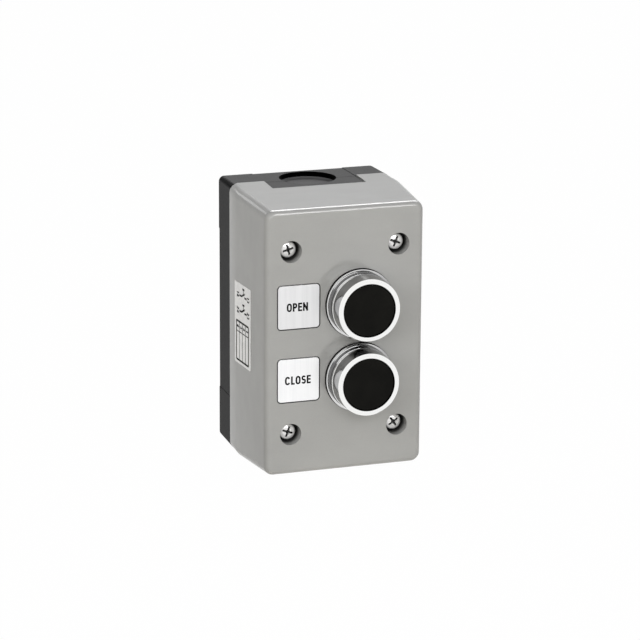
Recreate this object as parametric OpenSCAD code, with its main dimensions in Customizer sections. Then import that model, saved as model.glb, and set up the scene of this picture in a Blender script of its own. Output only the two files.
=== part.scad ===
// Wall-mounted control station: a drafted grey cover on a black base, two legend plates and two flush
// pushbuttons. Each button works a contact block inside the box.
// X runs to the right seen from the front, Y towards the wall and Z up.
// The origin is the centre of the face that lies against the wall.

/* [Cover] */
// Width of the front face, to its sharp edges
front_w = 65; // [62:0.5:75]
// Height of the front face, to its sharp edges
front_h = 107; // [103:0.5:120]
// Depth from the front face to the rear edge of the cover
cover_depth = 43.2; // [41:0.1:50]
// How far each side leans out between the front face and the lap
side_lean = 2.2; // [1.5:0.1:3]
// How far the top and the bottom lean out between the front face and the lap
top_lean = 1.6; // [1:0.1:3]
// Length of the skirt that laps over the base
lap_len = 11.7; // [10:0.1:14]
// How far each side of the skirt draws in towards its rear edge
skirt_in = 0.8; // [0:0.1:1.2]
// How far the top and the bottom of the skirt go on leaning out
skirt_out = 0.4; // [0:0.1:1]
// Corner radius of the cover, seen from the front
corner_r = 3.8; // [3:0.1:6]
// Radius that rounds the edge of the front face
edge_r = 2.2; // [1:0.1:2.8]
// Thickness of the front wall
front_wall = 3; // [2.5:0.1:4]
// Thickness of the skirt at its rear edge
skirt_wall = 2.4; // [2:0.1:3]

/* [Base] */
// Depth of the part of the base that shows behind the cover
base_show = 16.8; // [14:0.1:26]
// Step from the rear edge of the cover in to the base, on each side
base_step = 0.4; // [0.2:0.1:1]
// Draft of the base on each side, over the depth that shows
base_draft = 0.25; // [0:0.05:0.8]
// Corner radius of the base, seen from the front
base_corner_r = 2.2; // [1.5:0.1:5]
// Thickness of the rim that the skirt laps over
rim_wall = 1.8; // [1.5:0.1:2.4]
// Thickness of the wall that lies against the mounting surface
back_wall = 2.5; // [2:0.1:4]
// Thickness of the seal between the cover and the rim, as squeezed
seal_t = 1.3; // [1:0.1:2]
// Width of the tabs that come up through the skirt at the top and the bottom
tab_w = 38.4; // [30:0.1:42]
// Height of the shallow flat on each side of the base
side_flat_h = 67; // [50:0.5:80]
// Depth of the shallow flats on the base
flat_in = 0.2; // [0.1:0.05:0.5]
// Radius of each knock-out for a conduit or a cable gland
knockout_r = 11.5; // [9:0.1:12]
// Distance from the wall to the centre of the knock-outs
knockout_back = 13.1; // [12.6:0.1:14]
// Thickness of the skin that is left under a knock-out
knockout_skin = 0.9; // [0.8:0.1:1.6]
// Radius of the two holes for the wall screws
wall_hole_r = 3; // [2:0.1:3.2]
// Distance between the two holes for the wall screws
wall_hole_pitch = 76; // [70:0.5:80]

/* [Cover screws] */
// Distance from the side of the front face to the cover screws
screw_inset_x = 10.35; // [9.8:0.05:12]
// Distance from the top of the front face to the cover screws
screw_inset_y = 16.45; // [13:0.05:18]
// Radius of the counterbore over each cover screw
counterbore_r = 4.36; // [4:0.02:4.6]
// Depth of the top of the screw head below the front face
head_drop = 3.6; // [2:0.1:5]
// Radius of the screw head
head_r = 3.4; // [3:0.1:3.9]
// Height of the screw head
head_t = 2.4; // [2:0.1:3]
// Radius of the screw's thread
screw_r = 2; // [1.5:0.05:2.1]
// Thickness of the sealing washer under the head
washer_t = 0.8; // [0.5:0.1:1.2]
// Radius of the pillars in the cover that the screws pass through
pillar_r = 5.75; // [5.5:0.05:6.5]
// Radius of the bosses in the base that take the screws
boss_r = 5; // [4.2:0.1:5.5]
// Radius of the brass insert in each boss
insert_r = 2.8; // [2.6:0.05:3.2]
// Length of the brass insert
insert_len = 8; // [6:0.5:12]

/* [Legend plates and label] */
// Distance from the centre line of the cover to the centre of the legend plates
plate_x = 19; // [17.5:0.1:20]
// Width of a legend plate
plate_w = 16.9; // [14:0.1:17.5]
// Height of a legend plate
plate_h = 17.3; // [14:0.1:22]
// Thickness of a legend plate, and depth of its pocket
plate_t = 1; // [0.5:0.1:1.5]
// Corner radius of a legend plate
plate_r = 1.3; // [0.5:0.1:3]
// Gap between a legend plate and the edge of its pocket
plate_gap = 0.45; // [0.1:0.05:0.6]
// Distance between the two legend plates
plate_pitch = 29.7; // [29:0.1:34]
// Height of the plates' centre line above that of the buttons
plate_rise = 0.6; // [0:0.1:1]
// Size of the side label from front to back
label_w = 17.6; // [12:0.1:19]
// Height of the side label
label_h = 33.3; // [20:0.1:50]
// How far the side label runs over on to the skirt
label_over = 2.1; // [0.5:0.1:4]
// Height of the centre of the side label above the centre of the box
label_y = 1.9; // [-5:0.1:5]
// Thickness of the side label
label_t = 0.15; // [0.1:0.05:0.3]

/* [Pushbuttons] */
// Distance from the centre line of the cover to the buttons
button_x = 6; // [5:0.1:8]
// Distance between the two buttons
button_pitch = 30; // [29:0.1:34]
// Drop of the buttons' centre line below the centre of the box
button_drop = 0.7; // [0:0.1:2]
// Radius of the hole in the cover
hole_r = 11.25; // [11.2:0.01:11.6]
// Travel of a button
travel = 4; // [3:0.1:4.5]
// Height of the bezel's front ring above the front face
bezel_h = 12.2; // [11.5:0.1:16]
// Outer radius of the bezel's front ring
ring_r = 12.6; // [12.4:0.05:12.8]
// Radius of the bezel's flange
flange_r = 13.95; // [13.5:0.05:14.2]
// Radius of the bead on the bezel's shoulder
shoulder_r = 13; // [12.8:0.05:13.3]
// Height of the bezel's shoulder above the front face
shoulder_h = 5.7; // [4:0.1:8]
// Radius of the round opening that the cap moves in
bore_r = 10.75; // [10.5:0.05:10.9]
// Drop of the cap's face below the bezel's ring
cap_drop = 0.3; // [0.1:0.1:1.5]
// Thickness of the cap's face
cap_t = 1.6; // [1.2:0.1:2.5]
// Gap round the cap
cap_gap = 0.3; // [0.2:0.05:0.5]
// Radius of the barrel's thread
thread_r = 11; // [10.8:0.05:11.1]
// Depth of the barrel's floor below the front face
floor_depth = 7; // [6.5:0.1:10]
// Radius of the stem that the cap pushes
stem_r = 4; // [3:0.1:4.5]
// Radius of the lock nut
nut_r = 14.3; // [13.5:0.1:14.4]
// Thickness of the lock nut
nut_t = 4; // [3:0.1:4.5]

/* [Contact blocks] */
// Length of a contact block across the box
block_len = 36; // [34:0.5:40]
// Thickness of a contact block
block_t = 11; // [10:0.1:13]
// Wall of the contact block
shell = 1.4; // [1:0.1:1.8]
// Side of the square plate that carries the block
collar_w = 27; // [25:0.5:28.5]
// Radius of the contact discs
contact_r = 1.6; // [1:0.1:1.8]
// Thickness of the bridge and of the terminal strips
strip_t = 0.8; // [0.5:0.1:1.2]
// Height of the bridge and of the terminal strips
strip_h = 5; // [4:0.1:5.5]
// Radius of the terminal screws' thread
terminal_r = 1.5; // [1:0.1:1.75]
// Length of the spring behind the carriage, at rest
carriage_spring_len = 8; // [7.5:0.5:12]

/* [Hidden] */
// Smooth curves
fine = 96;
medium = 48;
coarse = 24;
arc_steps = 8;
ring_sides = 6;
rings_a_turn = 8;
// Overrun of every cut past the faces that it opens
over = 0.5;
// Gap between faces that seat on each other but are not fastened
seat_gap = 0.15;
// Running clearance of a guided shaft, and of a shaft in its own thread or socket
fit = 0.05;
// Clearance that keeps a moving piece off its stop
stop_gap = 0.3;

// Outside sizes of the box, from the front face back to the wall
box_depth = cover_depth + base_show;
lap_depth = cover_depth - lap_len;
lap_w = front_w + 2 * side_lean;
lap_h = front_h + 2 * top_lean;
skirt_w = lap_w - 2 * skirt_in;
skirt_h = lap_h + 2 * skirt_out;
base_w = skirt_w - 2 * base_step;
base_h = skirt_h - 2 * base_step;
wall_w = base_w - 2 * base_draft;
wall_h = base_h - 2 * base_draft;
lean_angle = atan(side_lean / lap_depth);

// Lap joint: skirt, rim and the cavity that both halves share
lap_gap = 0.2;
lap_in_w = skirt_w - 2 * skirt_wall;
lap_in_h = skirt_h - 2 * skirt_wall;
lap_in_r = corner_r - skirt_wall;
rim_w = lap_in_w - 2 * lap_gap;
rim_h = lap_in_h - 2 * lap_gap;
rim_r = lap_in_r - lap_gap;
cavity_w = rim_w - 2 * rim_wall;
cavity_h = rim_h - 2 * rim_wall;
cavity_r = 1.5;
cavity_draft = 0.6;
ledge_depth = lap_depth - seal_t;
shoulder_depth = cover_depth + seat_gap;
back_depth = box_depth - back_wall;
tab_gap = 0.35;
tab_top = base_h / 2 - flat_in;
tab_front = lap_depth + tab_gap;
knockout_depth = box_depth - knockout_back;
knockout_deep = tab_top - cavity_h / 2 - knockout_skin;
knockout_foot = 1.2;
pad_r = 6.5;
pad_t = 1.2;
relief_depth = 0.8;
relief_margin = 6;
relief_bar = 6;

// Cover screws
screw_x = front_w / 2 - screw_inset_x;
screw_y = front_h / 2 - screw_inset_y;
head_seat = head_drop + head_t;
counterbore_depth = head_seat + washer_t;
screw_play = 0.25;
screw_hole_r = screw_r + screw_play;
pillar_over = 2.5;
pillar_end = lap_depth + pillar_over;
boss_depth = pillar_end + stop_gap;
insert_well = 2;
screw_short = 1.3;
screw_end = boss_depth + insert_len - screw_short;
thread_pitch = 0.7;
thread_height = 0.35;
web_t = 2;

// Legend plates, label and buttons on the face
buttons_y = -button_drop;
open_y = buttons_y + button_pitch / 2;
close_y = buttons_y - button_pitch / 2;
open_plate_y = buttons_y + plate_rise + plate_pitch / 2;
close_plate_y = buttons_y + plate_rise - plate_pitch / 2;
plate_lift = 0.02;
label_r = 0.5;
label_from = lap_depth + label_over - label_w;
label_lift = 0.02;

// Operator: heights are above the front face, depths are below it
seal_ring_t = 0.8;
seal_ring_r = 14.1;
flange_t = 1.2;
flange_h = seal_ring_t + flange_t;
bevel = 0.25;
neck_r = 12.6;
neck_cove = 0.5;
bead_t = 0.8;
bead_step = 0.12;
ring_edge = 0.3;
head_wall_r = 12;
head_wall_h = 8;
bezel_in_r = head_wall_r + fit;
stop_step = 0.8;
stop_h = seal_ring_t + stop_step;
inner_r = 9.2;
thread_root = 10.6;
barrel_pitch = 1.5;
floor_t = 2;
floor_rear = floor_depth + floor_t;
guide_r = stem_r + fit;
key_w = 3.2;
key_h = 1.5;
key_gap = 0.15;
cap_r = bore_r - cap_gap;
cap_top = bezel_h - cap_drop;
cap_under = cap_top - cap_t;
cap_bottom = stop_h + travel + stop_gap;
cap_wall = 1.15;
cap_edge = 0.35;
hub_wall = 1.4;
hub_r = stem_r + hub_wall;
hub_len = 3.8;
return_r = 6.6;
return_wire = 0.45;
return_turns = 7;
spring_seat = 0.1;
clip_front = floor_rear + stop_gap;
clip_t = 0.8;
clip_rear = clip_front + clip_t;
clip_r = 6.2;
clip_groove = 1;
clip_mouth = 4.5;
stem_tip = 1.1;
stem_end = clip_rear + stem_tip;
stem_chamfer = 0.5;

// Lock nut, and the collar that carries the contact block on the barrel
nut_end = front_wall + nut_t;
nut_notches = 8;
notch_w = 3;
notch_in = 1.2;
nose_clear = 0.8;
block_front = stem_end + travel + nose_clear;
collar_plate_t = 3;
collar_plate_front = block_front - collar_plate_t;
barrel_end = collar_plate_front - seat_gap;
collar_clear = 0.6;
collar_front = nut_end + collar_clear;
collar_r = 13.6;
collar_corner_r = 2;
collar_hole_r = 6.5;
lug_w = 7;
lug_out = 1.6;
lug_x = collar_r + lug_out;
lock_depth = (collar_front + collar_plate_front) / 2;
lock_r = 1.5;
lock_head_r = 2.5;
lock_head_t = 1.6;
slot_w = 0.8;
slot_deep = 0.9;
arm_w = 8;
arm_t = 1.8;
arm_len = 6.5;
arm_end = block_front + arm_len;
arm_gap = 0.1;
hook_in = 0.7;
hook_len = 1.5;

// Contact block: depths run from the tip of the carriage back to the rear wall
block_half = block_t / 2;
lid_t = 1.2;
lid_y = block_half - lid_t;
floor_y = -block_half + shell;
inner_x = block_len / 2 - shell;
contact_x = block_len / 5;
terminal_x = block_len * 7 / 20;
inner_front = block_front + shell;
push_gap = 0.3;
tip_front = stem_end + push_gap;
tip_r = 2.4;
carriage_front = inner_front + stop_gap;
carriage_plate = 1.2;
carriage_back = 1.5;
carriage_h = 7.4;
window_gap = 0.1;
window_h = strip_h + 2 * window_gap;
window_front = carriage_front + carriage_plate;
overtravel_len = 2.8;
overtravel_r = 1.9;
overtravel_wire = 0.25;
overtravel_turns = 2;
bridge_front = window_front + overtravel_len;
bridge_rear = bridge_front + strip_t;
bridge_margin = 0.4;
bridge_x = contact_x + contact_r + bridge_margin;
carriage_rear = bridge_rear + carriage_back;
disc_t = 0.6;
moving_face = bridge_rear + disc_t;
fixed_face = moving_face + travel + fit;
strip_front = fixed_face + disc_t;
strip_rear = strip_front + strip_t;
strip_in = contact_x - contact_r - bridge_margin;
strip_clear = 0.6;
strip_out = inner_x - strip_clear;
carriage_clear = 1.2;
carriage_w = 2 * (strip_in - carriage_clear);
rest_margin = 0.6;
anvil_t = 2.2;
anvil_half = 1.4;
wire_gap = 1.3;
clamp_t = 0.8;
clamp_clear = 0.9;
clamp_w = 2 * (inner_x - clamp_clear - terminal_x);
clamp_h = 7;
clamp_front = strip_rear + wire_gap;
terminal_seat = clamp_front + clamp_t;
head_margin = 0.4;
terminal_head_r = clamp_w / 2 - head_margin;
terminal_head_t = 2;
terminal_len = 5.2;
driver_r = clamp_w / 2;
wire_slot_h = 4.8;
wire_slot_len = 2.6;
post_front = carriage_rear + carriage_spring_len;
post_r = 3;
tail_r = 1.5;
tail_in = 1;
tail_end = post_front + tail_in;
end_wall = 1;
block_rear = tail_end + travel + end_wall;
inner_rear = block_rear - shell;
carriage_spring_r = 2.5;
carriage_wire = 0.3;
carriage_turns = 4;
peg_r = 0.8;
peg_len = 2.5;
peg_post_r = 1.7;
peg_inset = 1.6;
latch_clear = 0.1;

// The face frame: x to the right, y up and z towards the viewer, from the centre of the front face.
// Depths below the front face are given as positive numbers.
module on_face(x = 0, y = 0) {
    translate([x, -box_depth, y]) rotate([90, 0, 0]) children();
}

module slab(d0, d1) {
    translate([0, 0, -d1]) linear_extrude(d1 - d0) children();
}

module rod(d0, d1, r, $fn = medium) {
    translate([0, 0, -d1]) cylinder(h = d1 - d0, r = r);
}

module tube(d0, d1, r, hole) {
    difference() {
        rod(d0, d1, r);
        rod(d0 - over, d1 + over, hole);
    }
}

module block(x0, x1, y0, y1, d0, d1) {
    translate([x0, y0, -d1]) cube([x1 - x0, y1 - y0, d1 - d0]);
}

module round_rect(w, h, r) {
    square([w - 2 * r, h], center = true);
    square([w, h - 2 * r], center = true);
    for (sx = [-1, 1], sy = [-1, 1]) {
        translate([sx * (w / 2 - r), sy * (h / 2 - r)]) circle(r = r, $fn = coarse);
    }
}

// Both ends of the box, or both sides of a block: the second copy is turned half round
module both_ends() {
    for (a = [0, 180]) rotate([0, 0, a]) children();
}

module left_and_right() {
    children();
    mirror([1, 0, 0]) children();
}

module at_open() {
    on_face(button_x, open_y) children();
}

module at_close() {
    on_face(button_x, close_y) children();
}

// The four cover screws, each one left at a turn of its own by the screwdriver
module at_screws() {
    for (side = [0, 180], sy = [-1, 1]) {
        $turn = 52 + side / 5 + 17 * sy;
        translate([cos(side) * screw_x, sy * screw_y, 0]) rotate([0, 0, side]) children();
    }
}

// One outline of a rounded rectangle, anticlockwise seen from the front
function outline(w, h, r) = [
    for (c = [[1, 1, 0], [-1, 1, 90], [-1, -1, 180], [1, -1, 270]], i = [0:arc_steps])
        let (a = c[2] + 90 * i / arc_steps)
        [c[0] * (w / 2 - r) + r * cos(a), c[1] * (h / 2 - r) + r * sin(a)]
];

// Joins rings of points into a closed skin. Each ring is anticlockwise seen from the first ring's side.
module skin(rings) {
    n = len(rings[0]);
    m = len(rings);
    sides = [
        for (k = [0:m - 2], i = [0:n - 1])
            let (j = (i + 1) % n, a = k * n, b = a + n)
            each [[a + i, a + j, b + j], [a + i, b + j, b + i]]
    ];
    front = [for (i = [0:n - 1]) n - 1 - i];
    rear = [for (i = [0:n - 1]) (m - 1) * n + i];
    polyhedron([for (ring = rings, p = ring) p], concat([front], sides, [rear]));
}

// A drafted box from rounded rectangles: each level gives a depth, a width, a height and a corner radius
module loft(levels) {
    skin([for (l = levels) [for (p = outline(l[1], l[2], l[3])) [p[0], p[1], -l[0]]]]);
}

// The outline of a thread as ridges between two depths
function ridges(d0, d1, root, crest, pitch) = let (n = round((d1 - d0) / pitch), step = (d1 - d0) / n) [
    for (k = [0:n - 1]) each [[root, -d0 - k * step], [crest, -d0 - (k + 1 / 2) * step]],
    [root, -d1]
];

// A coil spring between two depths: rings of points on a helix
function coil_centre(r, d0, d1, turns, s) = [
    r * cos(360 * turns * s), r * sin(360 * turns * s), -d0 - (d1 - d0) * s
];
function coil_ring(r, wire, d0, d1, turns, s) =
    let (
        a = 360 * turns * s,
        out = [cos(a), sin(a), 0],
        run = [-2 * PI * turns * r * sin(a), 2 * PI * turns * r * cos(a), d0 - d1],
        side = cross(run, out) / norm(run),
        centre = coil_centre(r, d0, d1, turns, s)
    )
    [for (i = [0:ring_sides - 1])
        let (b = 360 * i / ring_sides)
        centre + wire * (cos(b) * out - sin(b) * side)];

module coil(r, wire, d0, d1, turns) {
    n = turns * rings_a_turn;
    top = d0 + wire;
    bottom = d1 - wire;
    skin([for (k = [0:n]) coil_ring(r, wire, top, bottom, turns, k / n)]);
    gaps = [
        for (k = [0:n - rings_a_turn])
            norm(coil_centre(r, top, bottom, turns, k / n)
                - coil_centre(r, top, bottom, turns, (k + rings_a_turn) / n)) - 2 * wire
    ];
    echo(least_gap_between_turns = min(gaps));
}

function lean_w(d) = front_w + 2 * side_lean * d / lap_depth;
function lean_h(d) = front_h + 2 * top_lean * d / lap_depth;

// How far a side of the cover stands out from the centre line at a depth, on the side or on the skirt
function side_x(d) = d < lap_depth ? lean_w(d) / 2 : lap_w / 2 - skirt_in * (d - lap_depth) / lap_len;

module cover() {
    edge_levels = [
        for (i = [0:arc_steps])
            let (a = 90 * i / arc_steps, inset = edge_r * (1 - sin(a)), d = edge_r * (1 - cos(a)))
            [d, lean_w(d) - 2 * inset, lean_h(d) - 2 * inset, corner_r - inset]
    ];
    rear_levels = [[lap_depth, lap_w, lap_h, corner_r], [cover_depth, skirt_w, skirt_h, corner_r]];
    front_cavity_w = cavity_w - 2 * cavity_draft;
    front_cavity_h = cavity_h - 2 * cavity_draft;
    color("#a6a6a2") on_face() difference() {
        union() {
            difference() {
                loft(concat(edge_levels, rear_levels));
                loft([
                    [front_wall, front_cavity_w, front_cavity_h, cavity_r],
                    [ledge_depth + over, cavity_w, cavity_h, cavity_r]
                ]);
                slab(ledge_depth, cover_depth + over) round_rect(lap_in_w, lap_in_h, lap_in_r);
                both_ends() block(-tab_w / 2 - tab_gap, tab_w / 2 + tab_gap,
                    lap_in_h / 2 - over, skirt_h / 2 + over, lap_depth, cover_depth + over);
            }
            at_screws() {
                rod(front_wall - over, pillar_end, pillar_r);
                block(0, cavity_w / 2 - screw_x + over, -web_t / 2, web_t / 2,
                    front_wall - over, ledge_depth - web_t);
            }
        }
        at_screws() {
            rod(-over, counterbore_depth, counterbore_r);
            rod(-over, pillar_end + over, screw_hole_r);
        }
        for (y = [open_y, close_y]) translate([button_x, y, 0]) {
            rod(-over, front_wall + over, hole_r, $fn = fine);
            block(-key_w / 2, key_w / 2, 0, hole_r + key_h, -over, front_wall + over);
        }
        for (y = [open_plate_y, close_plate_y]) translate([-plate_x, y, 0]) slab(-over, plate_t)
            round_rect(plate_w + 2 * plate_gap, plate_h + 2 * plate_gap, plate_r + plate_gap);
    }
}

module base() {
    color("#2b2b2c") on_face() difference() {
        union() {
            difference() {
                union() {
                    difference() {
                        loft([
                            [shoulder_depth, base_w, base_h, base_corner_r],
                            [box_depth, wall_w, wall_h, base_corner_r]
                        ]);
                        base_flats();
                    }
                    slab(lap_depth, back_depth) round_rect(rim_w, rim_h, rim_r);
                    both_ends() block(-tab_w / 2, tab_w / 2, rim_h / 2 - over, tab_top - fit,
                        tab_front, shoulder_depth + over);
                }
                slab(lap_depth - over, back_depth) round_rect(cavity_w, cavity_h, cavity_r);
                both_ends() wall_relief();
            }
            at_screws() {
                rod(boss_depth, back_depth + over, boss_r);
                block(0, cavity_w / 2 - screw_x + over, -web_t / 2, web_t / 2,
                    boss_depth + web_t, back_depth + over);
            }
            both_ends() translate([0, wall_hole_pitch / 2, 0])
                rod(back_depth - pad_t, back_depth + over, pad_r);
        }
        at_screws() rod(boss_depth - over, boss_depth + insert_len + insert_well, insert_r);
        both_ends() {
            translate([0, wall_hole_pitch / 2, 0])
                rod(back_depth - pad_t - over, box_depth + over, wall_hole_r);
            translate([0, 0, -knockout_depth]) rotate([-90, 0, 0]) knockout_recess();
        }
    }
}

// What is cut from a tab to leave a knock-out: a round recess with a curved foot over a thin skin
module knockout_recess() {
    translate([0, 0, tab_top]) rotate_extrude($fn = fine) polygon(concat(
        [[0, over], [0, -knockout_deep]],
        [
            for (i = [0:arc_steps])
                let (a = 90 * i / arc_steps)
                [knockout_r - knockout_foot * (1 - sin(a)), knockout_foot * (1 - cos(a)) - knockout_deep]
        ],
        [[knockout_r, over]]
    ));
}

// What is cut from the outside of the base to leave its shallow flats
module base_flats() {
    w = base_w - 2 * flat_in;
    h = base_h - 2 * flat_in;
    difference() {
        slab(shoulder_depth - over, box_depth + over) {
            square([2 * base_w, side_flat_h], center = true);
            square([tab_w, 2 * base_h], center = true);
        }
        loft([
            [shoulder_depth - 2 * over, w, h, base_corner_r],
            [shoulder_depth, w, h, base_corner_r],
            [box_depth, w - 2 * base_draft, h - 2 * base_draft, base_corner_r],
            [box_depth + 2 * over, w - 2 * base_draft, h - 2 * base_draft, base_corner_r]
        ]);
    }
}

// A hollow in the face against the wall, with an island round the screw hole
module wall_relief() {
    x = wall_w / 2 - relief_margin;
    difference() {
        block(-x, x, relief_bar, wall_h / 2 - relief_margin, box_depth - relief_depth, box_depth + over);
        translate([0, wall_hole_pitch / 2, 0]) rod(back_depth, box_depth + 2 * over, pad_r);
    }
}

module cover_seal() {
    color("#1d1d1f") on_face() slab(ledge_depth, lap_depth) difference() {
        round_rect(rim_w, rim_h, rim_r);
        round_rect(cavity_w, cavity_h, cavity_r);
    }
}

module cover_screws() {
    dome_r = 7;
    cross_len = 4.4;
    cross_w = 0.85;
    cross_deep = 1.5;
    cone_r = 1;
    shank_r = screw_r - thread_height;
    color("#d9dadb") on_face() at_screws() {
        difference() {
            intersection() {
                rod(head_drop, head_seat, head_r);
                translate([0, 0, -head_drop - dome_r]) sphere(r = dome_r, $fn = medium);
            }
            rotate([0, 0, $turn]) {
                for (a = [0, 90]) rotate([0, 0, a])
                    block(-cross_len / 2, cross_len / 2, -cross_w / 2, cross_w / 2,
                        head_drop - over, head_drop + cross_deep);
                translate([0, 0, -head_drop - cross_deep])
                    cylinder(h = cross_deep, r1 = cross_w / 2, r2 = cone_r, $fn = coarse);
            }
        }
        rotate_extrude($fn = coarse) polygon(concat(
            [[0, -head_seat], [shank_r, -head_seat]],
            ridges(boss_depth, screw_end, shank_r, screw_r, thread_pitch),
            [[0, -screw_end]]
        ));
    }
}

module screw_washers() {
    color("#161617") on_face() at_screws()
        tube(head_seat, counterbore_depth, counterbore_r - screw_play, screw_r + fit);
}

module screw_inserts() {
    color("#c9a24a") on_face() at_screws()
        tube(boss_depth + seat_gap, boss_depth + insert_len, insert_r - fit / 2, screw_r + fit);
}

// The side label is a strip that follows the side and bends over on to the skirt
module rating_label() {
    bends = [label_from, lap_depth, lap_depth + label_over];
    inside = [for (d = bends) [-side_x(d) - label_lift, -d]];
    outside = [for (i = [len(bends) - 1:-1:0]) inside[i] - [label_t, 0]];
    color("#dcdcda") on_face(0, label_y) intersection() {
        rotate([90, 0, 0]) linear_extrude(label_h, center = true) polygon(concat(inside, outside));
        rotate([0, -90, 0]) linear_extrude(skirt_w)
            translate([-label_from - label_w / 2, 0]) round_rect(label_w, label_h, label_r);
    }
}

module legend_plate() {
    color("#e9e9e8") slab(0, plate_t - plate_lift) round_rect(plate_w, plate_h, plate_r);
}

// Chromed shell over the head of the barrel
module bezel() {
    bead_low = shoulder_h - bead_t;
    color("#e3e5e6") rotate_extrude($fn = fine) polygon([
        [bezel_in_r, seal_ring_t],
        [flange_r - bevel, seal_ring_t],
        [flange_r, seal_ring_t + bevel],
        [flange_r, flange_h - bevel],
        [flange_r - bevel, flange_h],
        [neck_r + neck_cove, flange_h],
        [neck_r, flange_h + neck_cove],
        [neck_r, bead_low - bead_step],
        [shoulder_r - bead_step, bead_low],
        [shoulder_r, bead_low + bead_step],
        [shoulder_r, shoulder_h - bead_step],
        [shoulder_r - bead_step, shoulder_h],
        [ring_r, bezel_h - ring_edge],
        [ring_r - ring_edge, bezel_h],
        [bore_r, bezel_h],
        [bore_r, head_wall_h + fit],
        [bezel_in_r, head_wall_h + fit]
    ]);
}

// The operator's body: a threaded tube through the cover, with a floor that guides the stem
module barrel() {
    key_x = key_w / 2 - key_gap;
    color("#8f9193") {
        rotate_extrude($fn = fine) polygon(concat(
            [
                [inner_r, -barrel_end],
                [inner_r, -floor_rear],
                [guide_r, -floor_rear],
                [guide_r, -floor_depth],
                [inner_r, -floor_depth],
                [inner_r, stop_h],
                [bore_r, stop_h],
                [bore_r, head_wall_h],
                [head_wall_r, head_wall_h],
                [head_wall_r, seal_ring_t],
                [thread_r, seal_ring_t],
                [thread_r, -front_wall]
            ],
            ridges(front_wall, barrel_end, thread_root, thread_r, barrel_pitch)
        ));
        block(-key_x, key_x, thread_root, hole_r + key_h - key_gap, 0, front_wall);
    }
}

module panel_seal() {
    color("#141415") tube(-seal_ring_t, 0, seal_ring_r, thread_r + fit);
}

module lock_nut() {
    color("#a9abad") difference() {
        tube(front_wall, nut_end, nut_r, thread_r + fit);
        for (i = [0:nut_notches - 1]) rotate([0, 0, 360 * i / nut_notches])
            block(nut_r - notch_in, nut_r + over, -notch_w / 2, notch_w / 2,
                front_wall - over, nut_end + over);
    }
}

module cap() {
    color("#171716") rotate_extrude($fn = fine) polygon([
        [0, cap_top],
        [cap_r - cap_edge, cap_top],
        [cap_r, cap_top - cap_edge],
        [cap_r, cap_bottom],
        [cap_r - cap_wall, cap_bottom],
        [cap_r - cap_wall, cap_under],
        [hub_r, cap_under],
        [hub_r, cap_under - hub_len],
        [stem_r + fit, cap_under - hub_len],
        [stem_r + fit, cap_under],
        [0, cap_under]
    ]);
}

module stem() {
    groove_r = stem_r - clip_groove;
    color("#ececea") rotate_extrude($fn = medium) polygon([
        [0, cap_under],
        [stem_r, cap_under],
        [stem_r, -clip_front + fit],
        [groove_r, -clip_front + fit],
        [groove_r, -clip_rear - fit],
        [stem_r, -clip_rear - fit],
        [stem_r, -stem_end + stem_chamfer],
        [stem_r - stem_chamfer, -stem_end],
        [0, -stem_end]
    ]);
}

module retaining_clip() {
    color("#5d6064") difference() {
        tube(clip_front, clip_rear, clip_r, stem_r - clip_groove + fit);
        block(0, clip_r + over, -clip_mouth / 2, clip_mouth / 2, clip_front - over, clip_rear + over);
    }
}

module return_spring() {
    color("#b9bcc0")
        coil(return_r, return_wire, spring_seat - cap_under, floor_depth - spring_seat, return_turns);
}

// Collar that slides on the barrel, with a plate and two arms that hold the contact block
module collar() {
    arm_y = block_half + arm_gap;
    color("#343638") difference() {
        union() {
            rod(collar_front, block_front, collar_r);
            slab(collar_plate_front, block_front) round_rect(collar_w, collar_w, collar_corner_r);
            block(-lug_x, -collar_r + lug_out, -lug_w / 2, lug_w / 2, collar_front, block_front);
            both_ends() {
                block(-arm_w / 2, arm_w / 2, arm_y, arm_y + arm_t, block_front - over, arm_end);
                block(-arm_w / 2, arm_w / 2, arm_y - hook_in, arm_y + over, arm_end - hook_len, arm_end);
            }
        }
        rod(collar_front - over, collar_plate_front, thread_r + fit);
        rod(collar_plate_front - over, block_front + over, collar_hole_r);
        translate([0, 0, -lock_depth]) rotate([0, -90, 0])
            cylinder(h = lug_x + over, r = lock_r + fit, $fn = coarse);
    }
}

module collar_screw() {
    color("#c6c8ca") translate([0, 0, -lock_depth]) rotate([0, -90, 0]) difference() {
        union() {
            translate([0, 0, thread_r + seat_gap])
                cylinder(h = lug_x - thread_r - seat_gap + fit, r = lock_r, $fn = coarse);
            translate([0, 0, lug_x]) cylinder(h = lock_head_t, r = lock_head_r, $fn = coarse);
        }
        translate([-lock_head_r - over, -slot_w / 2, lug_x + lock_head_t - slot_deep])
            cube([2 * (lock_head_r + over), slot_w, slot_deep + over]);
    }
}

// The lid's pegs: two in front, near the ends, and two behind, clear of the way to the terminal screws
module at_pegs() {
    front_x = inner_x - peg_inset;
    rear_x = (post_r + terminal_x - driver_r) / 2;
    for (p = [[front_x, inner_front + peg_inset], [rear_x, inner_rear - peg_inset]], side = [-1, 1]) {
        translate([side * p[0], 0, -p[1]]) rotate([-90, 0, 0]) children();
    }
}

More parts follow.
